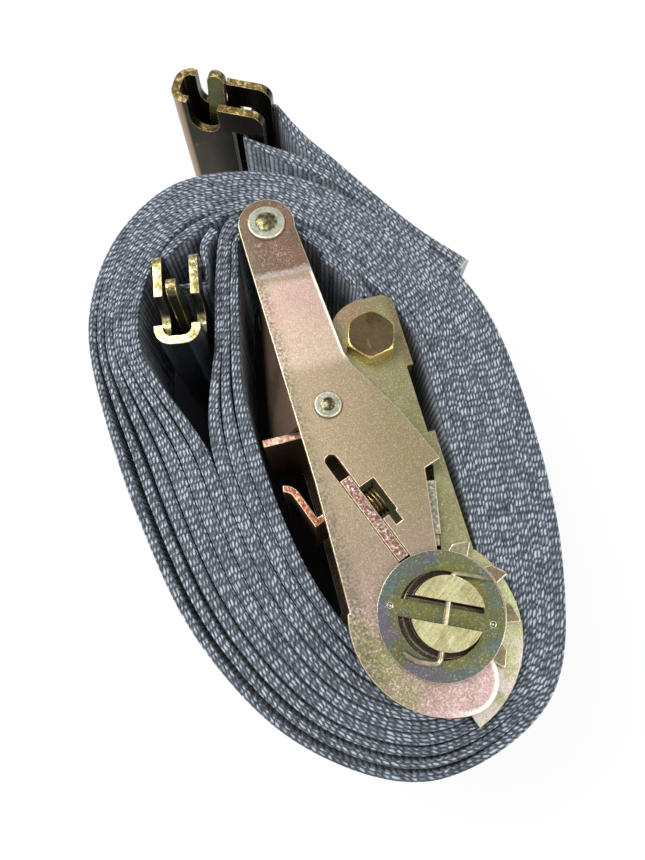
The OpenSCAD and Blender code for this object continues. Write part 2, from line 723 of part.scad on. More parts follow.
// Wound straps. Stations go round the ratchet anticlockwise: left, bottom, right, top.
// Each has a point on the innermost layer and one on the outermost layer.
inner_ring = stretched([[-31.9, 97], [-35.8, 72], [-34.5, 42], [-28.5, 14], [-17, -7.5], [-4, -13], [8.3, -8.3],
    [13, 8], [15.4, 40], [15.4, 78], [4.5, 102], [-9, 120], [-18.2, 125.2], [-26.2, 121.2], [-28.7, 112]]);
outer_ring = stretched([[-75.4, 107], [-76.8, 77], [-72, 42], [-62.5, 8], [-43, -21.5], [-13, -37.5],
    [20.4, -26.9], [35, 3], [40.5, 42], [38.5, 82], [21.4, 115.4], [1, 136.6], [-21, 146], [-43, 146],
    [-63, 131.5]]);
stations = len(inner_ring);
top_station = 12;
layers = long_turns + 3;
bunch_room = 0.8;
bunch_pitch = strap_t + bunch_room;
outer_room = 1.1;
outer_pitch = strap_t + outer_room;
inner_group = 2.6;
outer_group = 3.9;
points_per_turn = 60;
// The first turn has gained a whole layer by the time it meets its own start
early = 1.18;
first_layer = 1.1;
function spline(a, b, c, d, f) =
    0.5 * (2 * b + (c - a) * f + (2 * a - 5 * b + 4 * c - d) * f * f + (3 * b - a - 3 * c + d) * f * f * f);
function ring_point(ring, s) =
    let(i = floor(s), f = s - i)
    spline(ring[(i + stations - 1) % stations], ring[i % stations],
           ring[(i + 1) % stations], ring[(i + 2) % stations], f);
// Share of the way from the innermost to the outermost layer, parted on the left round the inner fitting
function parted(n, span) =
    let(low = inner_group * bunch_pitch / span, high = 1 - (layers - outer_group) * outer_pitch / span)
    n <= inner_group ? n * bunch_pitch / span
        : n >= outer_group ? 1 - (layers - n) * outer_pitch / span
        : lerp(low, high, (n - inner_group) / (outer_group - inner_group));
part_from = 12;
part_over = 1.3;
join_from = 15.3;
join_over = 1.4;
function parting(s) = ease((s - part_from) / part_over) * (1 - ease((s - join_from) / join_over));
// Between the fitting and the top the strands lie evenly spaced; strand counts from the inside
even_over = 0.1;
uneven_from = 0.7;
uneven_over = 0.25;
function settled(n, strand, f) =
    let(first = first_layer * min(1, early * f), last = long_turns + 2 + f,
        w = ease(f / even_over) * (1 - ease((f - uneven_from) / uneven_over)))
    lerp(n, lerp(first, last, strand / (long_turns + 1)), w);
function coil_point(n, strand, turn) =
    let(f = turn - floor(turn),
        s = top_station + stations * f,
        a = ring_point(inner_ring, s % stations),
        b = ring_point(outer_ring, s % stations))
    lerp(a, b, lerp(settled(n, strand, f) / layers, parted(n, norm(b - a)), parting(s)));
function short_layer(turn) =
    turn < 1 ? first_layer * min(1, max(0, early * turn)) : lerp(first_layer, 3, turn - 1);
function long_layer(turn) = turn < 2 ? short_layer(turn) + 1 : turn + 2;
function arc(at, r, from, to, steps) = [for (i = [0 : steps]) at + polar(r, lerp(from, to, i / steps))];
function turned(at, turn, p) = at + [p[0] * cos(turn) - p[1] * sin(turn), p[0] * sin(turn) + p[1] * cos(turn)];

// Webbing round a fitting's bars, in the fitting's own frame, from one face to the other
loop_r = strap_t / 2 + strap_room;
loop_steps = 4;
function bar_loop(side) = concat(
    arc([bar_start, side * fit_w / 2], loop_r, side * 90, side * 180, loop_steps),
    arc([bar_start, -side * fit_w / 2], loop_r, side * 180, side * 270, loop_steps));
function at_fitting(at, turn, points) = [for (p = points) turned(at, turn, p)];

// Long strap: free end inside, then the turns, then round the outer fitting and back as the sewn tail
long_start = 1.03;
long_end = long_turns + 0.8;
long_steps = floor((long_end - long_start) * points_per_turn);
long_coil = [for (i = [0 : long_steps])
    let(turn = lerp(long_start, long_end, i / long_steps)) coil_point(long_layer(turn), floor(turn) + 1, turn)];
long_tail_bend = arc([fit_len, fit_w / 2], loop_r, 90, 60, 2);
long_lead = stretched([[33.5, 95], [28.2, 104], [21.2, 115.8], [13.9, 126.6], [6.8, 135.9],
    [-1.3, 143.8], [-9.3, 150.5]]);
long_tail = stretched([[1, 153.2], [8.4, 140.8], [15.6, 129.2], [27.2, 110.5], [38.6, 95]]);
long_path = concat(long_coil, long_lead,
    at_fitting(outer_fit_at, outer_fit_turn, concat([[bar_start + 1, -fit_w / 2 - loop_r]], bar_loop(-1),
        long_tail_bend)),
    long_tail);

// Short strap: sewn tail, loop round the anchor sleeve, the turns, then round the inner fitting and back
sleeve_loop = sleeve_r + strap_room + strap_t / 2;
short_coil_start = -2 / stations;
short_coil_end = 2;
short_steps = floor((short_coil_end - short_coil_start) * points_per_turn);
short_coil = [for (i = [0 : short_steps])
    let(turn = lerp(short_coil_start, short_coil_end, i / short_steps))
    coil_point(short_layer(turn), floor(turn), turn)];
short_path = concat(stretched([[-2.6, 108.8], [1.9, 102.5], [5.3, 93.4], [1.2, 87.6], [-2, 82.5]]),
    arc(bolt_at, sleeve_loop, 180, 360, 10),
    stretched([[9.1, 84], [7.4, 93]]), short_coil,
    stretched([[-27, 131.2], [-35.5, 129.2], [-43, 125.8], [-48.4, 121.9]]),
    at_fitting(inner_fit_at, inner_fit_turn, concat(arc([fit_len, fit_w / 2], loop_r, 45, 90, 2), bar_loop(1),
        [[fit_len - 1, -fit_w / 2 - loop_r]])),
    stretched([[-36.6, 121.6], [-32.4, 126.2]]));

// A flat band of webbing standing on edge along a path
function band(path) =
    let(last = len(path) - 1,
        side = [for (i = [0 : last]) left_of(unit(path[min(i + 1, last)] - path[max(i - 1, 0)])) * strap_t / 2])
    concat([for (i = [0 : last]) path[i] + side[i]], [for (i = [last : -1 : 0]) path[i] - side[i]]);
footprint_x = [for (p = band(long_path)) p[0]];
footprint_y = [for (p = band(long_path)) p[1]];
fold_corner = turned(outer_fit_at, outer_fit_turn, [fold_r, fit_w / 2 - fold_r]);
origin_x = (min(footprint_x) + max(footprint_x)) / 2;
origin_y = (min(footprint_y) + fold_corner[1] + fold_r) / 2;
module webbing(path) {
    slab(-strap_w / 2, strap_w / 2) polygon(band(path));
}

// Least gap of a path to itself, or to another one, measured from its points to the other's runs
function run_distance(p, a, b) =
    let(run = b - a, f = min(1, max(0, (p - a) * run / (run * run)))) norm(p - a - f * run);
function lengths(path) =
    [for (i = 0, sum = 0; i < len(path);
          sum = sum + (i < len(path) - 1 ? norm(path[i + 1] - path[i]) : 0), i = i + 1) sum];
near = 9;
function least_gap(path) =
    let(along = lengths(path), last = len(path) - 1)
    min([for (i = [0 : last]) for (j = [0 : last - 1])
        if (along[j] - along[i] > near || along[i] - along[j + 1] > near)
            run_distance(path[i], path[j], path[j + 1])]) - strap_t;
function gap_between(one, two) =
    min([for (p = one) for (j = [0 : len(two) - 2]) run_distance(p, two[j], two[j + 1])]) - strap_t;
module long_strap() {
    echo(long_strap_least_gap = least_gap(long_path));
    echo(long_strap_length = lengths(long_path)[len(long_path) - 1]);
    color(webbing_blue) place() webbing(long_path);
}
module short_strap() {
    echo(short_strap_least_gap = least_gap(short_path));
    echo(gap_between_straps = min(gap_between(short_path, long_path), gap_between(long_path, short_path)));
    echo(short_strap_length = lengths(short_path)[len(short_path) - 1]);
    color(webbing_blue) place() webbing(short_path);
}

frame();
anchor_bolt();
anchor_nut();
anchor_sleeve();
spindle_half_a();
spindle_half_b();
ratchet_wheel_top();
ratchet_wheel_bottom();
cover_disc_top();
cover_disc_bottom();
cotter_pin_top();
cotter_pin_bottom();
handle_plate_top();
handle_plate_bottom();
grip_rod();
grip_tube();
spacer_rod();
spacer_tube();
handle_bridge();
drive_pawl();
drive_pawl_springs();
lock_pawl();
lock_pawl_spring();
outer_fitting();
outer_latch();
outer_latch_rivet();
outer_latch_spring();
inner_fitting();
inner_latch();
inner_latch_rivet();
inner_latch_spring();
long_strap();
short_strap();
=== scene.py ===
"""Looks of a ratchet tie down with its strap wound round it: webbing, plated steel, camera, floor and light."""
import math

import bmesh
import bpy
import numpy as np
from mathutils import Matrix, Vector


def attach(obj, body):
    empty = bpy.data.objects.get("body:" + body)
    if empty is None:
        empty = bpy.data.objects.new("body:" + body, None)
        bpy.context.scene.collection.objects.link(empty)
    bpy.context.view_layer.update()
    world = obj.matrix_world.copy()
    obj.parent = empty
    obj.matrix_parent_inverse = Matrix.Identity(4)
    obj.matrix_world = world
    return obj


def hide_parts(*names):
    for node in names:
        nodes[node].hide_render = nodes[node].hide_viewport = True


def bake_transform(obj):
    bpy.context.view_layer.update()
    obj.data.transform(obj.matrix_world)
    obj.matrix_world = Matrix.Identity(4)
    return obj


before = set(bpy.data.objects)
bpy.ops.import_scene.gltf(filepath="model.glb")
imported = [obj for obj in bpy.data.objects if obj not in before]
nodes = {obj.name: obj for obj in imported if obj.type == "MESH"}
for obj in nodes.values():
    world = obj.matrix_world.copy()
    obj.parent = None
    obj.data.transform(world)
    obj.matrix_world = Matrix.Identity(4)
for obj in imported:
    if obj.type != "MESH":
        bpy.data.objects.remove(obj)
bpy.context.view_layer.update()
scene = bpy.context.scene
scene.view_settings.view_transform = "Standard"

# ---------------------------------------------------------------- places
MM = 0.001
SPINDLE_X, SPINDLE_Y, MID_Z = 17.4343, -70.2458, 38.0


def spot(x, y, z=0.0):
    """A place measured from the spindle, in mm, as a place in the frame, in metres."""
    return Vector(((x + SPINDLE_X) * MM, (y + SPINDLE_Y) * MM, (z + MID_Z) * MM))


# ---------------------------------------------------------------- camera
EYE = spot(-29.4, 7.0, 200.0)
RIGHT = Vector((0.9668, -0.2554, 0.0)).normalized()
FORWARD = Vector((0.0704, 0.2665, -0.9613)).normalized()
FOCAL_PIXELS, LONG_SIDE, SENSOR = 650.0, 860.0, 36.0

camera_data = bpy.data.cameras.new("photo_camera")
camera_data.sensor_width = SENSOR
camera_data.lens = SENSOR * FOCAL_PIXELS / LONG_SIDE
camera_data.clip_start = 0.01
camera = bpy.data.objects.new("photo_camera", camera_data)
scene.collection.objects.link(camera)
up = RIGHT.cross(FORWARD)
camera.matrix_world = Matrix.Translation(EYE) @ Matrix((RIGHT, up, -FORWARD)).transposed().to_4x4()
scene.camera = camera


# ---------------------------------------------------------------- strap paths
# Stations of the coil's innermost and outermost strand, in mm from the spindle
INNER_RING = [
    (-31.9, 97), (-35.8, 72), (-34.5, 42), (-28.5, 14), (-17, -7.5), (-4, -13), (8.3, -8.3), (13, 8),
    (15.4, 40), (15.4, 78), (4.5, 102), (-9, 120), (-18.2, 125.2), (-26.2, 121.2), (-28.7, 112),
]
OUTER_RING = [
    (-75.4, 107), (-76.8, 77), (-72, 42), (-62.5, 8), (-43, -21.5), (-13, -37.5), (20.4, -26.9), (35, 3),
    (40.5, 42), (38.5, 82), (21.4, 115.4), (1, 136.6), (-21, 146), (-43, 146), (-63, 131.5),
]
STATIONS, TOP_STATION = 15, 12
LONG_TURNS, SHORT_TURNS = 7, 2
LAYERS = LONG_TURNS + SHORT_TURNS + 1
BUNCH_PITCH, OUTER_PITCH, INNER_GROUP, OUTER_GROUP = 2.2, 2.5, 2.6, 3.9
# Shares of a turn in which the strands settle against each other and come free again
SETTLE_WITHIN, FREE_FROM, FREE_WITHIN = 0.1, 0.7, 0.25
# Stations in which the strands part round the inner fitting and meet again
PART_WITHIN, MEET_FROM, MEET_WITHIN = 1.3, 15.3, 1.4
POINTS_PER_TURN, CURVE_STEPS, RING_STEP, SAME_POINT = 60, 12, 1.2, 1e-6
LONG_FROM, LONG_TO, SHORT_FROM = 1.03, LONG_TURNS + 0.8, -2 / STATIONS
EARLY, FIRST_LAYER = 1.18, 1.1
STRAP_T, STRAP_W, STRAP_ROOM = 1.4, 50.0, 0.3
LOOP_R = STRAP_T / 2 + STRAP_ROOM
FIT_LEN, FIT_W, BAR_START = 30.0, 13.0, 24.5
OUTER_FIT, OUTER_TURN = (-33.5, 173.5), -27.3
INNER_FIT, INNER_TURN = (-49.3, 86.6), 81.5
BOLT, SLEEVE_LOOP = (3.0, 76.7), 6.0
GRIP, SPACER = (-17.0445, 118.2783), (-13.975, 59.583)


def lerp(a, b, f):
    return a + (b - a) * f


def ease(f):
    f = min(1.0, max(0.0, f))
    return f * f * (3 - 2 * f)


def ring_point(ring, s):
    """A place on the smooth closed curve through a ring's stations."""
    i = math.floor(s)
    f = s - i
    a, b, c, d = (np.array(ring[(i + k) % STATIONS], float) for k in (-1, 0, 1, 2))
    return 0.5 * (2 * b + (c - a) * f + (2 * a - 5 * b + 4 * c - d) * f * f + (3 * b - a - 3 * c + d) * f ** 3)


def parted(n, span):
    """Where strand n lies across the coil beside the inner fitting, as a share of the coil's breadth."""
    low = INNER_GROUP * BUNCH_PITCH / span
    high = 1 - (LAYERS - OUTER_GROUP) * OUTER_PITCH / span
    if n <= INNER_GROUP:
        return n * BUNCH_PITCH / span
    if n >= OUTER_GROUP:
        return 1 - (LAYERS - n) * OUTER_PITCH / span
    return lerp(low, high, (n - INNER_GROUP) / (OUTER_GROUP - INNER_GROUP))


def settled(n, strand, f):
    """The strand's layer, evened out where the turns lie close."""
    first, last = FIRST_LAYER * min(1.0, EARLY * f), LONG_TURNS + SHORT_TURNS + f
    w = ease(f / SETTLE_WITHIN) * (1 - ease((f - FREE_FROM) / FREE_WITHIN))
    return lerp(n, lerp(first, last, strand / (LONG_TURNS + 1)), w)


def coil_point(n, strand, turn):
    """Where layer n of the coil lies after so many turns from the top."""
    f = turn - math.floor(turn)
    s = TOP_STATION + STATIONS * f
    a, b = ring_point(INNER_RING, s % STATIONS), ring_point(OUTER_RING, s % STATIONS)
    parting = ease((s - TOP_STATION) / PART_WITHIN) * (1 - ease((s - MEET_FROM) / MEET_WITHIN))
    return lerp(a, b, lerp(settled(n, strand, f) / LAYERS, parted(n, float(np.hypot(*(b - a)))), parting))


def short_layer(turn):
    """The layer that the short strap lies in after so many turns."""
    if turn < 1:
        return FIRST_LAYER * min(1.0, max(0.0, EARLY * turn))
    return lerp(FIRST_LAYER, SHORT_TURNS + 1, turn - 1)


def long_layer(turn):
    """The long strap lies on the short one, and on itself where that has ended."""
    return short_layer(turn) + 1 if turn < SHORT_TURNS else turn + SHORT_TURNS


def coil(start, end, layer, inside):
    steps = math.floor((end - start) * POINTS_PER_TURN)
    turns = [lerp(start, end, i / steps) for i in range(steps + 1)]
    return [coil_point(layer(t), math.floor(t) + inside, t) for t in turns]


def arc(at, r, start, end, steps):
    angles = [math.radians(lerp(start, end, i / steps)) for i in range(steps + 1)]
    return [(at[0] + r * math.cos(a), at[1] + r * math.sin(a)) for a in angles]


def bar_loop(side):
    """The strap's way round the bar at a fitting's open end."""
    return (arc((BAR_START, side * FIT_W / 2), LOOP_R, side * 90, side * 180, 4)
            + arc((BAR_START, -side * FIT_W / 2), LOOP_R, side * 180, side * 270, 4))


def at_fitting(at, turn, points):
    c, s = math.cos(math.radians(turn)), math.sin(math.radians(turn))
    return [(at[0] + x * c - y * s, at[1] + x * s + y * c) for x, y in points]


LONG_COIL = coil(LONG_FROM, LONG_TO, long_layer, 1)
LONG_LEAD = [(33.5, 95), (28.2, 104), (21.2, 115.8), (13.9, 126.6), (6.8, 135.9), (-1.3, 143.8), (-9.3, 150.5)]
LONG_END = LONG_LEAD + at_fitting(
    OUTER_FIT, OUTER_TURN,
    [(BAR_START + 1, -FIT_W / 2 - LOOP_R)] + bar_loop(-1) + arc((FIT_LEN, FIT_W / 2), LOOP_R, 90, 60, 2),
) + [(1, 153.2), (8.4, 140.8), (15.6, 129.2), (27.2, 110.5), (38.6, 95)]
SHORT_PATH = (
    [(-2.6, 108.8), (1.9, 102.5), (5.3, 93.4), (1.2, 87.6), (-2, 82.5)]
    + arc(BOLT, SLEEVE_LOOP, 180, 360, 10) + [(9.1, 84), (7.4, 93)]
    + coil(SHORT_FROM, SHORT_TURNS, short_layer, 0)
    + [(-27, 131.2), (-35.5, 129.2), (-43, 125.8), (-48.4, 121.9)]
    + at_fitting(INNER_FIT, INNER_TURN, arc((FIT_LEN, FIT_W / 2), LOOP_R, 45, 90, 2) + bar_loop(1)
                 + [(FIT_LEN - 1, -FIT_W / 2 - LOOP_R)])
    + [(-36.6, 121.6), (-32.4, 126.2)]
)


def smooth_run(points, step):
    """Even points on a centripetal curve through the given ones."""
    p = np.array(points, float)
    keep = np.concatenate([[True], np.hypot(*np.diff(p, axis=0).T) > SAME_POINT])
    p = p[keep]
    p = np.vstack([2 * p[0] - p[1], p, 2 * p[-1] - p[-2]])
    out = []
    for i in range(1, len(p) - 2):
        a, b, c, d = p[i - 1:i + 3]
        t0 = 0.0
        t1 = t0 + math.sqrt(np.hypot(*(b - a)))
        t2 = t1 + math.sqrt(np.hypot(*(c - b)))
        t3 = t2 + math.sqrt(np.hypot(*(d - c)))
        for t in np.linspace(t1, t2, CURVE_STEPS, endpoint=False):
            ab = a * (t1 - t) / (t1 - t0) + b * (t - t0) / (t1 - t0)
            bc = b * (t2 - t) / (t2 - t1) + c * (t - t1) / (t2 - t1)
            cd = c * (t3 - t) / (t3 - t2) + d * (t - t2) / (t3 - t2)
            abc = ab * (t2 - t) / (t2 - t0) + bc * (t - t0) / (t2 - t0)
            bcd = bc * (t3 - t) / (t3 - t1) + cd * (t - t1) / (t3 - t1)
            out.append(abc * (t2 - t) / (t2 - t1) + bcd * (t - t1) / (t2 - t1))
    out.append(p[-2])
    out = np.array(out)
    run = np.concatenate([[0.0], np.cumsum(np.hypot(*np.diff(out, axis=0).T))])
    count = max(2, int(round(run[-1] / step)) + 1)
    at = np.linspace(0.0, run[-1], count)
    return np.stack([np.interp(at, run, out[:, k]) for k in (0, 1)], axis=1), at


long_run, long_at = smooth_run(LONG_COIL + LONG_END, RING_STEP)
short_run, short_at = smooth_run(SHORT_PATH, RING_STEP)

FAR_OFF, OWN_STRAND = 99.0, 9.0


def room_beside(run, at, other):
    """Distance from each point of a run to the nearest other strand."""
    best = np.full(len(run), FAR_OFF)
    for i in range(len(run)):
        own = np.hypot(run[:, 0] - run[i, 0], run[:, 1] - run[i, 1])
        own[np.abs(at - at[i]) < OWN_STRAND] = FAR_OFF
        best[i] = min(own.min(), np.hypot(other[:, 0] - run[i, 0], other[:, 1] - run[i, 1]).min())
    return best


THINNEST, THICKEST, FIT_ROOM, PRESSED = 1.5, 4.0, 0.2, 0.1
NEAR_METAL, METAL_REACH, METAL_FADE = 1.7, 9.0, 12.0
# The last turns of the long strap lie loose
TURN_LENGTH, LOOSE_TURNS, LEAD_LENGTH = 430.0, 3.4, 215.0
LOOSE_FROM = long_at[-1] - LEAD_LENGTH - LOOSE_TURNS * TURN_LENGTH
LOOSE_X, LOOSE_X_WITHIN, LOOSE_Y, LOOSE_Y_WITHIN, LOOSE_WITHIN = 12.0, 24.0, 70.0, 45.0, 1.6
SLACK, OUTER_SLACK, SLACK_WAVE, WAVE_LENGTH, LOOSE_GAP = 0.1, 1.35, 0.3, 41.0, 0.08
EVEN_OVER = 4


def gap_to_fitting(run, at, turn):
    """Distance from each point of a run to the outline of a fitting."""
    c, s = math.cos(math.radians(turn)), math.sin(math.radians(turn))
    x, y = run[:, 0] - at[0], run[:, 1] - at[1]
    along, across = x * c + y * s, y * c - x * s
    out_along = np.maximum(np.maximum(-along, along - FIT_LEN), 0.0)
    return np.hypot(out_along, np.maximum(np.abs(across) - FIT_W / 2, 0.0))


def strap_thickness(run, at, other, outermost=None):
    """Strands press on each other, except at the lower left, where the outer turns hang loose."""
    room = room_beside(run, at, other)
    x, y = run[:, 0], run[:, 1]
    loose = np.clip((LOOSE_X - x) / LOOSE_X_WITHIN, 0.0, 1.0)
    loose = loose * (1 - np.clip((y - LOOSE_Y) / LOOSE_Y_WITHIN, 0.0, 1.0))
    outer = np.zeros(len(at))
    if outermost is not None:
        outer = np.clip((at - outermost) / TURN_LENGTH / LOOSE_WITHIN, 0.0, 1.0)
    slack = loose * (SLACK + outer * (OUTER_SLACK + SLACK_WAVE * np.sin(at / WAVE_LENGTH)))
    t = np.clip(room + PRESSED - slack - (PRESSED + LOOSE_GAP) * loose, THINNEST, THICKEST)
    for place, turn in ((OUTER_FIT, OUTER_TURN), (INNER_FIT, INNER_TURN)):
        t = np.minimum(t, np.maximum(THINNEST, 2 * (gap_to_fitting(run, place, turn) - FIT_ROOM)))
    for place in (BOLT, GRIP):
        away = np.hypot(x - place[0], y - place[1])
        clear = np.clip((away - METAL_REACH) / METAL_FADE, 0, 1)
        t = np.minimum(t, NEAR_METAL + clear * (THICKEST - NEAR_METAL))
    low = np.array([t[max(0, i - EVEN_OVER):i + EVEN_OVER + 1].min() for i in range(len(t))])
    width = 2 * EVEN_OVER + 1
    return np.convolve(np.pad(low, EVEN_OVER, mode="edge"), np.ones(width) / width, mode="valid")


long_t = strap_thickness(long_run, long_at, short_run, LOOSE_FROM)
short_t = strap_thickness(short_run, short_at, long_run)

# Half of a strap's section: share of the half thickness, and distance in from the strap's edge in mm
SECTION = [
    (0.35, 0.0), (0.72, 0.16), (0.93, 0.42), (1.0, 0.95), (0.97, 1.9), (1.0, 6.0), (1.0, 15.0), (1.0, 25.0),
]


def section_points(t):
    half = [(s * t / 2, STRAP_W / 2 - d) for s, d in SECTION]
    right = half + [(x, -z) for x, z in reversed(half[:-1])]
    return right + [(-x, z) for x, z in reversed(right)]


def strap_mesh(name, run, at, thick, first, last):
    """A woven band standing on edge. Its UV maps hold mm along and across it, and mm off its middle."""
    tangent = np.gradient(run, axis=0)
    tangent /= np.hypot(tangent[:, 0], tangent[:, 1])[:, None]
    normal = np.stack([-tangent[:, 1], tangent[:, 0]], axis=1)
    bm = bmesh.new()
    uv = bm.loops.layers.uv.new("weave")
    side = bm.loops.layers.uv.new("section")
    sections = [section_points(thick[i]) for i in range(first, last + 1)]
    rings = [[bm.verts.new(spot(*(run[first + r] + normal[first + r] * x), z)) for x, z in points]
             for r, points in enumerate(sections)]

    def mark(loop, r, k):
        loop[uv].uv = (at[first + r], sections[r][k][1])
        loop[side].uv = (sections[r][k][0], thick[first + r])

    count = len(rings[0])
    for i in range(len(rings) - 1):
        for k in range(count):
            k2 = (k + 1) % count
            face = bm.faces.new((rings[i][k], rings[i + 1][k], rings[i + 1][k2], rings[i][k2]))
            face.smooth = True
            for loop, corner in zip(face.loops, ((i, k), (i + 1, k), (i + 1, k2), (i, k2))):
                mark(loop, *corner)
    for r, flip in ((0, False), (len(rings) - 1, True)):
        ring = rings[r] if flip else list(reversed(rings[r]))
        face = bm.faces.new(ring)
        for loop in face.loops:
            mark(loop, r, rings[r].index(loop.vert))
    bm.normal_update()
    mesh = bpy.data.meshes.new(name)
    bm.to_mesh(mesh)
    bm.free()
    obj = bpy.data.objects.new(name, mesh)
    scene.collection.objects.link(obj)
    return obj


coil_end = int(np.searchsorted(long_at, long_at[-1] - LEAD_LENGTH))
long_coil = strap_mesh("long_strap_turns", long_run, long_at, long_t, 0, coil_end)
long_lead = strap_mesh("long_strap_end", long_run, long_at, long_t, coil_end, len(long_run) - 1)
short_strap = strap_mesh("short_strap_turns", short_run, short_at, short_t, 0, len(short_run) - 1)


# ---------------------------------------------------------------- shader maths
def set_inputs(node, inputs):
    """Values or links for a node's inputs, by name with _ for a space, or by place as i0, i1 and so on."""
    for key, value in inputs.items():
        target = node.inputs[int(key[1:]) if key[1:].isdigit() else key.replace("_", " ")]
        if isinstance(value, Sock):
            value.tree.links.new(value.socket, target)
        else:
            target.default_value = value


class Sock:
    """A socket of a node tree, with arithmetic on values."""

    def __init__(self, tree, socket=None):
        self.tree, self.socket = tree, socket

    def node(self, kind, settings=None, **inputs):
        made = self.tree.nodes.new(kind)
        for key, value in (settings or {}).items():
            setattr(made, key, value)
        set_inputs(made, inputs)
        return made

    def take(self, output, kind, settings=None, **inputs):
        """One output of a new node."""
        return Sock(self.tree, self.node(kind, settings, **inputs).outputs[output])

    def math(self, operation, a, b=0.0, clamp=False):
        return self.take(0, "ShaderNodeMath", {"operation": operation, "use_clamp": clamp}, i0=a, i1=b)

    def __add__(self, o): return self.math("ADD", self, o)
    def __radd__(self, o): return self.math("ADD", o, self)
    def __sub__(self, o): return self.math("SUBTRACT", self, o)
    def __rsub__(self, o): return self.math("SUBTRACT", o, self)
    def __mul__(self, o): return self.math("MULTIPLY", self, o)
    def __rmul__(self, o): return self.math("MULTIPLY", o, self)
    def __truediv__(self, o): return self.math("DIVIDE", self, o)
    def __pow__(self, o): return self.math("POWER", self, o)
    def __rtruediv__(self, o): return self.math("DIVIDE", o, self)
    def __rpow__(self, o): return self.math("POWER", o, self)

    def floor(self): return self.math("FLOOR", self)
    def abs(self): return self.math("ABSOLUTE", self)
    def sin(self): return self.math("SINE", self)
    def fract(self): return self.math("FRACT", self)
    def clamp(self): return self.math("ADD", self, 0.0, clamp=True)
    def upper(self, o): return self.math("MAXIMUM", self, o)
    def lower(self, o): return self.math("MINIMUM", self, o)

    def step(self, low, high):
        """0 below low, 1 above high, smooth between."""
        smooth = {"interpolation_type": "SMOOTHSTEP"}
        return self.take(0, "ShaderNodeMapRange", smooth, i0=self, i1=low, i2=high)

    def mix(self, a, b):
        """Colour a where this value is 0, colour b where it is 1."""
        return self.take(2, "ShaderNodeMix", {"data_type": "RGBA"}, i0=self, i6=a, i7=b)

    def parts(self):
        made = self.node("ShaderNodeSeparateXYZ", i0=self)
        return [Sock(self.tree, out) for out in made.outputs]

    def vector(self, x, y, z):
        return self.take(0, "ShaderNodeCombineXYZ", i0=x, i1=y, i2=z)

    def noise(self, scale, detail=2.0, rough=0.5):
        return self.take(0, "ShaderNodeTexNoise", Vector=self, Scale=scale, Detail=detail, Roughness=rough)

    def cells(self, scale):
        return self.take("Distance", "ShaderNodeTexVoronoi", {"feature": "SMOOTH_F1"}, Vector=self, Scale=scale)

    def grain(self):
        return self.take(0, "ShaderNodeTexWhiteNoise", {"noise_dimensions": "3D"}, Vector=self)

    def bump(self, strength, distance):
        return self.take(0, "ShaderNodeBump", Strength=strength, Distance=distance, Height=self)


def rgb(r, g, b):
    """A colour given as it shows on a screen, 0 to 255."""
    def linear(v):
        v /= 255.0
        return v / 12.92 if v <= 0.04045 else ((v + 0.055) / 1.055) ** 2.4
    return (linear(r), linear(g), linear(b), 1.0)


def new_material(name):
    """A material, its shader, and the place on the object, with the surface's normal there."""
    mat = bpy.data.materials.new(name)
    mat.use_nodes = True
    tree = mat.node_tree
    coords = Sock(tree).node("ShaderNodeTexCoord")
    at = Sock(tree, coords.outputs["Object"])
    at.normal = Sock(tree, coords.outputs["Normal"])
    return mat, tree.nodes["Principled BSDF"], at


# ---------------------------------------------------------------- webbing
RIB_PITCH, PICK_PITCH, ROW_PITCH, YARN_LENGTH = 1.75, 0.62, 0.95, 2.1
EDGE_FROM, EDGE_TO = 23.4, 24.2
SINGED, SINGED_FADE = 0.5, 1.1
WEAVE_DEPTH = 0.0007


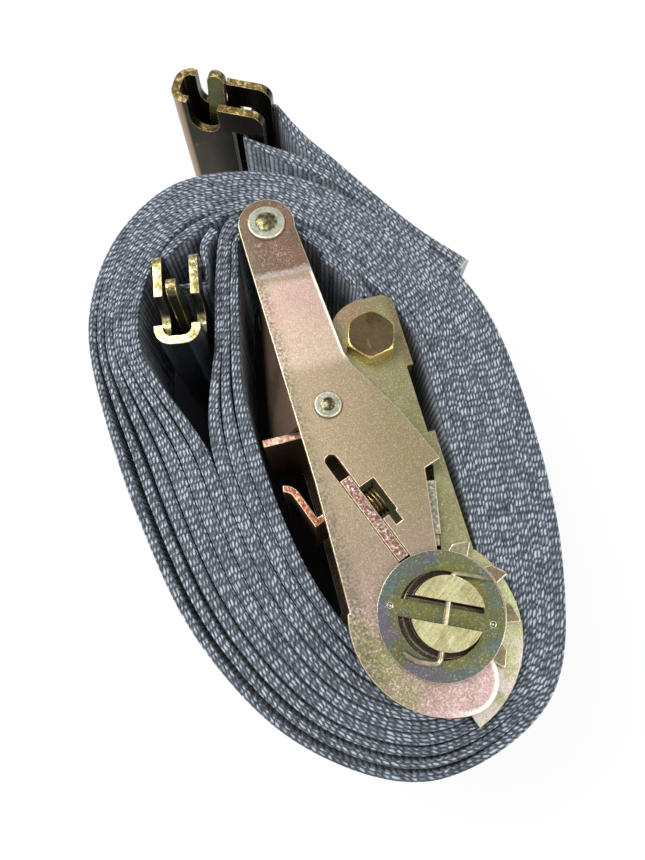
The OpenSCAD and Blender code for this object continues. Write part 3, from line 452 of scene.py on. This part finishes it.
def webbing_material(name, cut_at=None):
    """Woven webbing. A strap's cut end is singed pale."""
    mat, shader, at = new_material(name)
    weave = at.take(0, "ShaderNodeUVMap", {"uv_map": "weave"})
    along, across, _ = weave.parts()
    off = at.take(0, "ShaderNodeUVMap", {"uv_map": "section"}).parts()[0]
    edge = across.abs().step(EDGE_FROM, EDGE_TO)
    blotch = weave.noise(0.23, 2.0, 0.6)
    wander = (weave.noise(0.5, 1.0) - 0.5) * 0.9

    # Faces: cross ribs of doubled weft, each with short warp floats
    rib = (along + wander * 0.35) / RIB_PITCH
    rib_tone = at.vector(rib.floor(), 5.0, 2.0).grain()
    rib_round = ((rib.fract() * math.pi).sin()) ** 0.7
    pick = across / PICK_PITCH + rib.floor() * 0.5
    pick_tone = at.vector(rib.floor(), pick.floor(), 9.0).grain()
    pick_round = (pick.fract() * math.pi).sin() ** 0.6
    face_light = rib_round * 0.34 + rib_tone * 0.2 + pick_tone * pick_round * 0.3 + blotch * 0.16
    face_height = rib_round * 0.8 + pick_round * 0.25

    # Edges: short slanting yarns in rows, pale over dark
    row = off / ROW_PITCH + 0.5 + (weave.noise(0.9, 1.0) - 0.5) * 0.5
    row_shift = at.vector(row.floor(), (along / 47.0).floor(), 7.0).grain()
    yarn = (along + off * 1.1 + wander * 2.4) / YARN_LENGTH + row.floor() * 0.5 + row_shift * 0.4
    yarn_tone = at.vector(yarn.floor(), row.floor(), 4.0).grain()
    yarn_round = ((yarn.fract() * math.pi).sin() ** 1.1) * ((row.fract() * math.pi).sin() ** 0.7)
    fibre = at.vector(along * 0.8, off * 6.0 + along * 0.9, 1.0).noise(1.3, 2.0, 0.6)
    edge_light = yarn_round * (yarn_tone * 0.42 + 0.34) + (fibre - 0.5) * 0.8 + (blotch - 0.5) * 0.35 + 0.14
    edge_height = yarn_round + (fibre - 0.5) * 0.3

    light = face_light * (1 - edge) + edge_light * edge
    height = face_height * (1 - edge) + edge_height * edge
    # The rounding of ribs and yarns also sets the colour: paler on their crowns, near black in the gaps between
    # them. That is painted highlight and painted shade over the yarns' own tones.
    dark_yarn_and_gap_shade, mid_yarn, pale_yarn_and_crown_highlight = rgb(26, 31, 39), rgb(84, 93, 103), rgb(178, 187, 196)
    colour = light.step(0.06, 0.4).mix(dark_yarn_and_gap_shade, mid_yarn)
    colour = light.step(0.36, 0.8).mix(colour, pale_yarn_and_crown_highlight)
    if cut_at is not None:
        singed = along.step(cut_at - SINGED - SINGED_FADE, cut_at - SINGED)
        colour = singed.mix(colour, rgb(176, 174, 172))
    set_inputs(shader, {"Base Color": colour, "Roughness": 0.8 - light * 0.18, "Sheen Weight": 0.12,
                        "Normal": height.bump(0.85, WEAVE_DEPTH)})
    return mat


webbing = webbing_material("grey_blue_webbing")
webbing_cut = webbing_material("grey_blue_webbing_cut_end", float(long_at[-1]))
long_coil.data.materials.append(webbing)
short_strap.data.materials.append(webbing)
long_lead.data.materials.append(webbing_cut)


# ---------------------------------------------------------------- plated steel
WHITE_GRAIN, DARK_GRAIN = rgb(244, 236, 218), rgb(120, 104, 78)
GRAIN_DEPTH = 0.00025


def plated(name, tone, rough=0.4, metal=0.8, speck_size=2100.0, speck=0.4, bump=0.3, streaks=0.0):
    """Yellow passivated zinc. tone(at) gives the base colour from the place on the object."""
    mat, shader, at = new_material(name)
    grain = at.noise(speck_size, 2.0, 0.65)
    colour = tone(at)
    colour = (1 - grain.step(0.34, 0.5)).lower(speck).mix(colour, DARK_GRAIN)
    colour = (grain.step(0.52, 0.8) * speck).mix(colour, WHITE_GRAIN)
    scratch = at.vector(*[p * k for p, k in zip(at.parts(), (900.0, 160.0, 300.0))]).noise(1.0, 2.0)
    colour = (scratch.step(0.7, 0.78) * 0.1).mix(colour, WHITE_GRAIN)
    height = grain
    if streaks:
        x, y, z = at.parts()
        sheared = at.vector(x * 1400.0, y * 1400.0, z * 90.0).noise(1.0, 2.0)
        colour = (sheared.step(0.5, 0.72) * streaks).mix(colour, WHITE_GRAIN)
        height = grain * 0.4 + sheared
    set_inputs(shader, {"Base Color": colour, "Metallic": metal, "Roughness": grain * 0.2 + (rough - 0.1),
                        "Normal": height.bump(bump, GRAIN_DEPTH)})
    return mat


def on_edge(flat, sheared, low=0.72, high=0.9):
    """One tone for a sheet's upright faces and another for its cut edges, which face up or down."""
    def tone(at):
        return at.normal.parts()[2].abs().step(low, high).mix(flat(at), sheared(at))
    return tone


def folded(turn, fold):
    """A fitting's dark faces, with another tone on the fold at its closed end."""
    c, s = math.cos(math.radians(turn)), math.sin(math.radians(turn))

    def tone(at):
        x, y, _ = at.normal.parts()
        cloud = at.noise(60.0, 3.0, 0.55)
        colour = cloud.step(0.36, 0.6).mix(rgb(36, 33, 25), rgb(54, 46, 38))
        colour = (at.noise(120.0, 3.0).step(0.5, 0.66) * 0.6).mix(colour, rgb(44, 50, 36))
        return (x * -c + y * -s).step(0.03, 0.25).mix(colour, fold)
    return tone


def hammered(low, mid, high, fine=1.0):
    """A sheared edge with dents and glints."""
    def tone(at):
        dents = at.cells(1100.0 * fine)
        lumps = at.noise(700.0 * fine, 3.0, 0.65)
        colour = lumps.step(0.36, 0.56).mix(low, mid)
        return ((lumps + dents * 0.5).step(0.72, 0.95)).mix(colour, high)
    return tone


def mottled(low, mid, high, stain, size=42.0):
    """Cloudy plating in three tones, with stains."""
    def tone(at):
        cloud = at.noise(size, 3.0, 0.55)
        patch = at.noise(size * 2.7, 4.0, 0.6)
        colour = cloud.step(0.36, 0.5).mix(low, mid)
        colour = cloud.step(0.5, 0.64).mix(colour, high)
        return (patch.step(0.5, 0.72) * 0.55).mix(colour, stain)
    return tone


def from_spindle(at):
    """Distances from the spindle along X and Y in mm."""
    x, y, _ = at.parts()
    return x * 1000.0 - SPINDLE_X, y * 1000.0 - SPINDLE_Y


# The arm's straight edges: place across at one place along the arm, and lean
LEFT_EDGE, LEFT_AT, LEFT_LEAN = 22.7, 40.0, 0.0335
RIGHT_EDGE, RIGHT_AT, RIGHT_LEAN = 5.82, 75.0, 0.0806
CAM_END = (-0.2, -15.4)


def handle_tone(at):
    """The handle plates, from the rose and green cam to the brown grip end."""
    x, y = from_spindle(at)
    cloud = at.noise(45.0, 3.0, 0.55)
    patch = at.noise(150.0, 3.0, 0.6)
    ragged = (at.noise(300.0, 3.0, 0.6) - 0.5) * 4.0
    soft = (cloud - 0.5) * 10.0
    # Tan below the bend, paler and pink above it
    colour = (x + soft).step(-14.0, 8.0).mix(rgb(147, 130, 104), rgb(134, 121, 89))
    colour = (y * -1 + soft).step(-34.0, -14.0).mix(colour, rgb(146, 128, 110))
    colour = ((y + soft * 0.2).step(69.0, 74.0)).mix(colour, rgb(177, 156, 137))
    pink = (y + ragged).step(78.0, 92.0) * patch.step(0.3, 0.6)
    colour = (pink * 0.8).mix(colour, rgb(178, 148, 138))
    # Cam: rose on the right and at the bottom, green on the left
    low = (y * -1 + ragged).step(-16.0, -2.0)
    colour = (low * patch.step(0.34, 0.6) * 0.8).mix(colour, rgb(166, 138, 128))
    green = (y * -1 - x + ragged * 1.5).step(14.0, 22.0) * (1 - (x + ragged * 1.5).step(-17.0, -8.0))
    colour = (green * patch.step(0.36, 0.54) * 0.9).mix(colour, rgb(126, 128, 72))
    rose = (y * -1 + x * 0.55 + ragged).step(9.0, 21.0)
    colour = (rose * patch.step(0.2, 0.5) * 0.9).mix(colour, rgb(206, 172, 172))
    grit = at.noise(1900.0, 2.0, 0.7)
    colour = (low * grit.step(0.5, 0.64) * 0.5).mix(colour, rgb(232, 212, 200))
    colour = (low * (1 - grit.step(0.36, 0.48)) * 0.45).mix(colour, rgb(142, 116, 88))
    # Painted highlight: the cam's rim on the right is painted near white
    end_x, end_y = x - CAM_END[0], y - CAM_END[1]
    painted_cam_rim_highlight = (end_x * end_x + end_y * end_y).step(50.0, 62.0) * x.step(-7.0, 1.0) * (1 - y.step(-14.0, -9.0))
    colour = painted_cam_rim_highlight.mix(colour, rgb(244, 234, 226))
    # Brown end with a scuffed grey line where the plate is set in
    bent = y + x * 0.02 + ragged * 0.5
    brown = bent.step(100.0, 102.5)
    colour = (brown * 0.95).mix(colour, patch.step(0.35, 0.62).mix(rgb(80, 58, 42), rgb(98, 66, 52)))
    shade = bent.step(97.0, 99.5) * (1 - bent.step(100.0, 101.0))
    colour = (shade * 0.7).mix(colour, rgb(128, 108, 90))
    scuff = bent.step(99.8, 100.4) * (1 - bent.step(101.6, 102.6)) * at.noise(800.0, 3.0, 0.6).step(0.38, 0.6)
    colour = (scuff * 0.8).mix(colour, rgb(140, 150, 150))
    hair = (at.noise(330.0, 2.0, 0.5) - 0.5).abs()
    lines = (1 - hair.step(0.0, 0.014)) * at.noise(240.0, 2.0).step(0.48, 0.56) * brown
    colour = (lines * 0.85).mix(colour, rgb(190, 178, 164))
    dust = at.noise(1700.0, 2.0, 0.7).step(0.5, 0.66) * brown
    colour = (dust * 0.35).mix(colour, rgb(152, 124, 104))
    # Painted highlight: a white rim on the arm's right edge. Grey-green wear along the left one
    right = x * -1 - RIGHT_EDGE - (y - RIGHT_AT) * RIGHT_LEAN + ragged * 0.08
    rim = (1 - right.step(0.4, 1.1)) * y.step(70.0, 76.0) * (1 - bent.step(98.5, 100.5))
    colour = rim.mix(colour, rgb(246, 238, 226))
    left = x + LEFT_EDGE + (y - LEFT_AT) * LEFT_LEAN + ragged * 0.5
    worn = (1 - left.step(0.9, 4.6)) * at.noise(1300.0, 3.0, 0.65).step(0.44, 0.56)
    colour = (worn * 0.85).mix(colour, rgb(92, 88, 70))
    # Painted highlight: the upright faces along the left edge are painted near white
    wall = (1 - at.normal.parts()[2].abs().step(0.3, 0.6)) * (1 - left.step(1.0, 2.0))
    colour = wall.mix(colour, rgb(238, 228, 204))
    # Painted shade: the plate round the spindle, under the cover disc, is painted near black
    painted_shade_under_disc = 1 - (x * x + y * y).step(150.0, 190.0)
    return painted_shade_under_disc.mix(colour, rgb(40, 32, 22))


def frame_tone(at):
    """The frame's plates, tan at the anchor bolt and bright at the tail."""
    x, y = from_spindle(at)
    cloud = at.noise(60.0, 3.0, 0.55)
    patch = at.noise(170.0, 3.0, 0.6)
    ragged = (patch - 0.5) * 8.0
    colour = cloud.step(0.38, 0.6).mix(rgb(126, 122, 84), rgb(142, 138, 98))
    colour = (patch.step(0.46, 0.66) * 0.6).mix(colour, rgb(132, 140, 94))
    top = (y + ragged).step(78.0, 86.0) * (1 - (x + ragged).step(2.0, 10.0))
    colour = top.mix(colour, rgb(138, 117, 90))
    colour = ((x + ragged * 0.4).step(9.0, 12.5) * (y.step(60.0, 70.0)) * 0.7).mix(colour, rgb(104, 84, 58))
    # The tail catches the light: yellow-green, rose-white lower down
    tail = 1 - (y + ragged).step(8.0, 22.0)
    colour = tail.mix(colour, cloud.step(0.4, 0.6).mix(rgb(170, 170, 126), rgb(194, 198, 146)))
    foot = (1 - (y + ragged).step(-14.0, -6.0)) * patch.step(0.36, 0.56)
    return (foot * 0.85).mix(colour, rgb(216, 204, 196))


BRUSH_SIN, BRUSH_COS = 0.574, 0.819
SPINDLE_END = max(abs(corner[2] / MM - MID_Z) for corner in nodes["spindle_half_a"].bound_box)


def spindle_tone(at):
    """Brushed ends, with painted shade below them."""
    x, y, z = at.parts()
    across, along = x * BRUSH_SIN - y * BRUSH_COS, x * BRUSH_COS + y * BRUSH_SIN
    brushed = at.vector(across * 2600.0, along * 240.0, z * 240.0).noise(1.0, 3.0, 0.6)
    cloud = at.noise(170.0, 3.0, 0.55)
    colour = cloud.step(0.4, 0.6).mix(rgb(186, 176, 126), rgb(208, 204, 152))
    colour = (brushed.step(0.5, 0.72) * 0.7).mix(colour, rgb(244, 236, 196))
    colour = ((1 - brushed.step(0.26, 0.44)) * 0.45).mix(colour, rgb(112, 98, 60))
    # Painted shade: the spindle's sides a little below its end faces are painted near black
    level = (z * 1000.0 - MID_Z).abs()
    return (1 - level.step(SPINDLE_END - 0.9, SPINDLE_END - 0.3)).mix(colour, rgb(44, 36, 24))


DISC, PUNCH = (-1.25, -0.08), (11.5, -5.4)


def from_disc(at):
    """Distances from the cover disc's middle along X and Y in mm."""
    x, y = from_spindle(at)
    return x - DISC[0], y - DISC[1]


def disc_tone(at):
    """Green, blue and violet sheen, with painted shade on the walls of the openings."""
    x, y = from_disc(at)
    cloud = at.noise(130.0, 3.0, 0.55)
    around = at.noise(75.0, 2.0, 0.5)
    out = (x * x + y * y) ** 0.5
    colour = cloud.step(0.4, 0.6).mix(rgb(106, 110, 64), rgb(94, 108, 84))
    colour = (out.step(11.0, 14.5) * around.step(0.36, 0.56)).mix(colour, rgb(92, 112, 112))
    violet = (x * -1 - y * 0.5).step(7.0, 13.0) * around.step(0.4, 0.5)
    colour = (cloud.step(0.56, 0.68).upper(violet) * 0.7).mix(colour, rgb(112, 98, 116))
    colour = (around.step(0.52, 0.62) * 0.6).mix(colour, rgb(128, 124, 54))
    # Painted shade: the walls of the openings are painted dark
    wall = 1 - at.normal.parts()[2].abs().step(0.3, 0.6)
    return (wall * (1 - out.step(12.0, 13.0))).mix(colour, rgb(66, 50, 30))


def disc_edge_tone(at):
    """A painted highlight on the rim, painted glints at the punch marks, and gold round the openings."""
    x, y = from_disc(at)
    # Near-white colour for the painted highlight on the rim and the painted glints at the punch marks
    bright = rgb(232, 224, 204)
    colour = at.noise(200.0, 2.0).step(0.4, 0.6).mix(rgb(120, 88, 46), rgb(176, 134, 92))
    for side in (1, -1):
        off_x, off_y = x - side * PUNCH[0], y - side * PUNCH[1]
        colour = (off_x * off_x + off_y * off_y).step(1.4, 2.2).mix(bright, colour)
    return (x * x + y * y).step(178.0, 196.0).mix(colour, bright)


def pawl_edge(at):
    """Copper on the finger pull, rose on the drive pawl's ears and grey-green on the lock pawl's."""
    ear = (at.parts()[2] * 1000.0 - MID_Z).abs().step(26.0, 28.0)
    pull = hammered(rgb(112, 54, 38), rgb(168, 96, 68), rgb(226, 160, 116), 1.7)(at)
    rose = hammered(rgb(112, 72, 66), rgb(160, 120, 108), rgb(240, 222, 210), 1.7)(at)
    grey = hammered(rgb(120, 118, 98), rgb(158, 156, 136), rgb(214, 212, 196), 1.7)(at)
    return ear.mix(pull, from_spindle(at)[0].step(-3.0, 0.0).mix(rose, grey))


GRIP_DOME_R, SPACER_DOME_R, DOME_FADE = 3.2, 2.0, 0.2


def rivet_tone(at):
    """Grey heads with a gold hammered dome in the middle."""
    x, y = from_spindle(at)
    hammer = at.noise(900.0, 2.0, 0.6)
    colour = at.noise(300.0, 3.0).step(0.35, 0.65).mix(rgb(142, 146, 132), rgb(164, 166, 152))
    domes = []
    for place, r in ((GRIP, GRIP_DOME_R), (SPACER, SPACER_DOME_R)):
        off_x, off_y = x - place[0], y - place[1]
        domes.append(1 - ((off_x * off_x + off_y * off_y) ** 0.5).step(r - DOME_FADE, r + DOME_FADE))
    gold = hammer.step(0.4, 0.72).mix(rgb(48, 48, 30), rgb(150, 140, 96))
    return domes[0].upper(domes[1]).mix(colour, gold)


PLATING = {
    "handle_zinc": (handle_tone, dict(rough=0.46, metal=0.72, speck_size=2600.0, speck=0.3, bump=0.3)),
    "frame_zinc": (frame_tone, dict(rough=0.42, speck_size=2600.0, speck=0.4)),
    "outer_fitting_zinc": (
        on_edge(folded(OUTER_TURN, rgb(150, 126, 100)),
                hammered(rgb(92, 76, 34), rgb(152, 128, 70), rgb(232, 206, 160))),
        dict(rough=0.22, speck=0.05, bump=0.1)),
    "inner_fitting_zinc": (
        on_edge(folded(INNER_TURN, rgb(60, 66, 72)),
                hammered(rgb(112, 104, 56), rgb(176, 166, 112), rgb(240, 236, 204))),
        dict(rough=0.22, speck=0.05, bump=0.1)),
    "fitting_edge": (
        mottled(rgb(130, 112, 64), rgb(180, 158, 100), rgb(218, 190, 142), rgb(168, 162, 88), 180.0),
        dict(rough=0.26, speck=0.2, bump=0.3)),
    "latch_zinc": (
        on_edge(mottled(rgb(66, 72, 48), rgb(86, 92, 62), rgb(104, 98, 70), rgb(110, 116, 48), 90.0),
                hammered(rgb(112, 84, 40), rgb(158, 142, 84), rgb(226, 216, 182))),
        dict(rough=0.25, speck=0.06, bump=0.1)),
    "wheel_zinc": (
        mottled(rgb(104, 96, 70), rgb(128, 120, 90), rgb(146, 138, 106), rgb(126, 104, 86), 80.0),
        dict(rough=0.4)),
    "pawl_zinc": (
        on_edge(mottled(rgb(128, 98, 76), rgb(164, 128, 100), rgb(186, 150, 122), rgb(140, 96, 78), 140.0),
                pawl_edge),
        dict(rough=0.34, speck_size=1100.0, speck=0.3, bump=0.6)),
    "spindle_zinc": (spindle_tone, dict(rough=0.3, speck=0.15, bump=0.3)),
    "bolt_zinc": (
        on_edge(mottled(rgb(170, 140, 66), rgb(206, 176, 96), rgb(230, 206, 140), rgb(190, 150, 60), 130.0),
                mottled(rgb(76, 62, 40), rgb(98, 82, 54), rgb(118, 96, 68), rgb(88, 76, 40), 130.0), 0.9, 0.97),
        dict(rough=0.2, speck=0.1, bump=0.2)),
    "palm_zinc": (
        on_edge(mottled(rgb(92, 74, 62), rgb(122, 98, 82), rgb(136, 104, 92), rgb(98, 86, 62), 50.0),
                hammered(rgb(150, 100, 84), rgb(196, 158, 130), rgb(240, 226, 204))),
        dict(rough=0.32, metal=0.55, speck=0.2, bump=0.2)),
    "cover_disc": (disc_tone, dict(rough=0.3, metal=0.85, speck=0.34, bump=0.3)),
    "disc_edge": (disc_edge_tone, dict(rough=0.28, speck=0.1, bump=0.15)),
    "rivet_steel": (rivet_tone, dict(rough=0.36, metal=0.85, speck_size=1500.0, speck=0.35, bump=0.35)),
    "pin_steel": (
        mottled(rgb(150, 138, 110), rgb(186, 174, 146), rgb(206, 190, 170), rgb(150, 146, 110), 150.0),
        dict(rough=0.3, speck=0.25, bump=0.15)),
    "spring_bronze": (
        mottled(rgb(96, 84, 48), rgb(134, 116, 70), rgb(160, 132, 92), rgb(70, 62, 40), 200.0),
        dict(rough=0.24, speck=0.15, bump=0.1)),
    # Cut edges: bare steel, made paler still as a painted highlight
    "sheared_edge": (
        mottled(rgb(206, 190, 150), rgb(226, 208, 172), rgb(236, 212, 190), rgb(214, 206, 150), 160.0),
        dict(rough=0.34, streaks=0.35, bump=0.35)),
}
FINISHES = {name: plated(name, tone, **settings) for name, (tone, settings) in PLATING.items()}
PIECES = {
    "frame_zinc": ("frame",),
    "handle_zinc": ("handle_plate_top", "handle_plate_bottom"),
    "palm_zinc": ("handle_bridge", "grip_tube", "spacer_tube", "anchor_sleeve"),
    "bolt_zinc": ("anchor_bolt", "anchor_nut"),
    "rivet_steel": ("grip_rod", "spacer_rod"),
    "spindle_zinc": ("spindle_half_a", "spindle_half_b"),
    "wheel_zinc": ("ratchet_wheel_top", "ratchet_wheel_bottom"),
    "cover_disc": ("cover_disc_top", "cover_disc_bottom"),
    "pin_steel": ("cotter_pin_top", "cotter_pin_bottom", "outer_latch_rivet", "inner_latch_rivet"),
    "pawl_zinc": ("drive_pawl", "lock_pawl"),
    "outer_fitting_zinc": ("outer_fitting",),
    "inner_fitting_zinc": ("inner_fitting",),
    "latch_zinc": ("outer_latch", "inner_latch"),
    "spring_bronze": ("drive_pawl_springs", "outer_latch_spring", "inner_latch_spring"),
}
ROUND_WIRE = ("drive_pawl_springs", "squeezed_spring", "outer_latch_spring", "inner_latch_spring",
              "cotter_pin_top", "cotter_pin_bottom")
EDGE_FINISH = {"outer_fitting_zinc": "fitting_edge", "inner_fitting_zinc": "fitting_edge",
               "latch_zinc": "fitting_edge", "palm_zinc": "fitting_edge", "cover_disc": "disc_edge"}
EDGE_WIDTH, THIN_EDGE = {"handle_zinc": 0.55, "wheel_zinc": 0.6, "cover_disc": 0.35}, 0.3
WHOLE_FACE, SHARP_EDGE, WELD_WITHIN = math.radians(0.4), math.radians(38), 1e-6


def dress(obj, finish_name):
    """Gives a piece its finish and lightly rounded sheared edges, painted bright: partly the bare steel's
    colour, partly painted highlight.
    """
    obj.data.materials.clear()
    obj.data.materials.append(FINISHES[finish_name])
    weld = obj.modifiers.new("joined_faces", "WELD")
    weld.merge_threshold = WELD_WITHIN
    if obj.name in ROUND_WIRE:
        smooth = obj.modifiers.new("round_wire", "SUBSURF")
        smooth.levels = smooth.render_levels = 1
        return
    flat = obj.modifiers.new("whole_faces", "DECIMATE")
    flat.decimate_type = "DISSOLVE"
    flat.angle_limit = WHOLE_FACE
    obj.data.materials.append(FINISHES[EDGE_FINISH.get(finish_name, "sheared_edge")])
    edge = obj.modifiers.new("sheared_edges", "BEVEL")
    edge.width = EDGE_WIDTH.get(finish_name, THIN_EDGE) * MM
    edge.segments = 2
    edge.limit_method = "ANGLE"
    edge.angle_limit = SHARP_EDGE
    edge.material = 1
    even = obj.modifiers.new("even_shading", "WEIGHTED_NORMAL")
    even.weight = 90


for finish_name, names in PIECES.items():
    for name in names:
        dress(nodes[name], finish_name)

# A copy of the lock pawl's spring, which sits between the pawl and the frame's tab
LOCK_TURN = math.radians(78)
LOCK_WAY = Vector((math.cos(LOCK_TURN), math.sin(LOCK_TURN), 0.0))
lock_spring = bpy.data.objects.new("squeezed_spring", nodes["lock_pawl_spring"].data.copy())
lock_spring.matrix_world = nodes["lock_pawl_spring"].matrix_world
scene.collection.objects.link(lock_spring)
dress(lock_spring, "spring_bronze")

# ---------------------------------------------------------------- bodies
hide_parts("long_strap")
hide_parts("long_strap")
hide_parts("short_strap")
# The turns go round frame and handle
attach(long_lead, "frame")
for strap in (long_coil, short_strap):
    spot(4, 40)
    spot(-9, 40)
    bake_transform(strap)
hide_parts("lock_pawl_spring")
reach = [(lock_spring.matrix_world @ v.co).dot(LOCK_WAY) for v in lock_spring.data.vertices]
LOCK_WAY * max(reach)
LOCK_WAY * min(reach)
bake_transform(lock_spring)

# ---------------------------------------------------------------- floor and light
FLOOR_HALF, FLOOR_Z = 3.0, -0.0005
floor_mesh = bpy.data.meshes.new("floor")
corners = [(x * FLOOR_HALF, y * FLOOR_HALF, 0) for x, y in ((-1, -1), (1, -1), (1, 1), (-1, 1))]
floor_mesh.from_pydata(corners, [], [(0, 1, 2, 3)])
floor = bpy.data.objects.new("floor", floor_mesh)
floor.location.z = FLOOR_Z
scene.collection.objects.link(floor)

# Painted shadow: the ground inside the coil is painted near black
HOLLOW, HOLLOW_HALF, HOLLOW_POWER = (-0.0017, -0.012), (0.055, 0.087), 3.0
PAINTED_SHADOW, PALE = (0.03, 0.03, 0.035, 1), (0.8, 0.8, 0.8, 1)
SHADOW_KEPT = 0.1


def floor_material():
    """White where it is seen, apart from the shadow that it keeps and a painted shadow inside the coil."""
    mat = bpy.data.materials.new("pale_floor")
    mat.use_nodes = True
    tree = mat.node_tree
    tree.nodes.clear()
    root = Sock(tree)
    path = root.node("ShaderNodeLightPath")
    seen = (Sock(tree, path.outputs["Is Camera Ray"]) + Sock(tree, path.outputs["Is Glossy Ray"])
            + Sock(tree, path.outputs["Is Transmission Ray"]))
    x, y, _ = root.take("Object", "ShaderNodeTexCoord").parts()
    out_of_middle = (((x - HOLLOW[0]) / HOLLOW_HALF[0]).abs() ** HOLLOW_POWER
                     + ((y - HOLLOW[1]) / HOLLOW_HALF[1]).abs() ** HOLLOW_POWER).step(0.9, 1.0)
    matt = root.take(0, "ShaderNodeBsdfPrincipled", Roughness=1.0, Base_Color=out_of_middle.mix(PAINTED_SHADOW, PALE))
    white = root.take(0, "ShaderNodeEmission", Strength=1.0)
    mask = seen.clamp() * out_of_middle * (1 - SHADOW_KEPT)
    both = root.take(0, "ShaderNodeMixShader", i0=mask, i1=matt, i2=white)
    root.node("ShaderNodeOutputMaterial", Surface=both)
    return mat


floor_mesh.materials.append(floor_material())

world = bpy.data.worlds.new("studio")
scene.world = world
world.use_nodes = True
HORIZON, ZENITH, SKY_STRENGTH = (0.3, 0.31, 0.33, 1), (0.95, 0.96, 1.0, 1), 0.75
height = Sock(world.node_tree).take("Generated", "ShaderNodeTexCoord").parts()[2]
dome = height.step(0.0, 0.9).mix(HORIZON, ZENITH)
set_inputs(world.node_tree.nodes["Background"], {"Color": dome, "Strength": SKY_STRENGTH})


def soft_light(name, place, aim, size, power):
    data = bpy.data.lights.new(name, "AREA")
    data.shape = "DISK"
    data.size = size
    data.energy = power
    lamp = bpy.data.objects.new(name, data)
    lamp.location = place
    lamp.rotation_euler = (Vector(aim) - Vector(place)).to_track_quat("-Z", "Y").to_euler()
    scene.collection.objects.link(lamp)


soft_light("key_softbox", (-0.35, 0.35, 0.75), (0, 0, 0.05), 0.5, 6.3)
soft_light("left_softbox", (-0.19, 0.06, 0.42), (0, 0, 0.03), 0.12, 0.42)
soft_light("fill_softbox", (0.5, -0.4, 0.6), (0, 0, 0.05), 0.6, 3.0)
